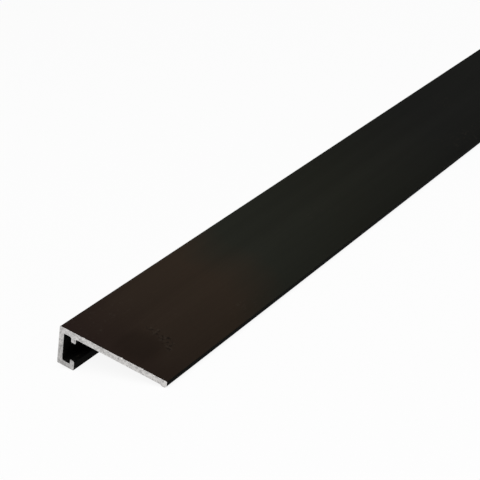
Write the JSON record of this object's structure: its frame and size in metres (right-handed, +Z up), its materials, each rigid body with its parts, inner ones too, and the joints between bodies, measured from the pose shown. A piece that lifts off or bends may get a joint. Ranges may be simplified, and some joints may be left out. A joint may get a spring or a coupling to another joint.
{
  "type": "aluminium extrusion profile",
  "caption": "Black anodised aluminium frame profile: a wide flat flange with a web whose lipped foot makes a channel for corner connectors, and a round bead on the flange's free edge.",
  "frame": {"origin": "middle of the bar's length, on the floor, under the middle of the leaning section's box", "axes": "+Y along the bar, +Z up, +X from the web towards the flange's free edge, with the section leaning 18.9 degrees about Y as it comes to rest"},
  "size_m": [0.0474, 1, 0.0167],
  "materials": {
    "black_anodised": "satin black anodised, with bare sawn ends"
  },
  "bodies": {
    "root": {"frame_profile": "black_anodised"}
  },
  "joints": []
}
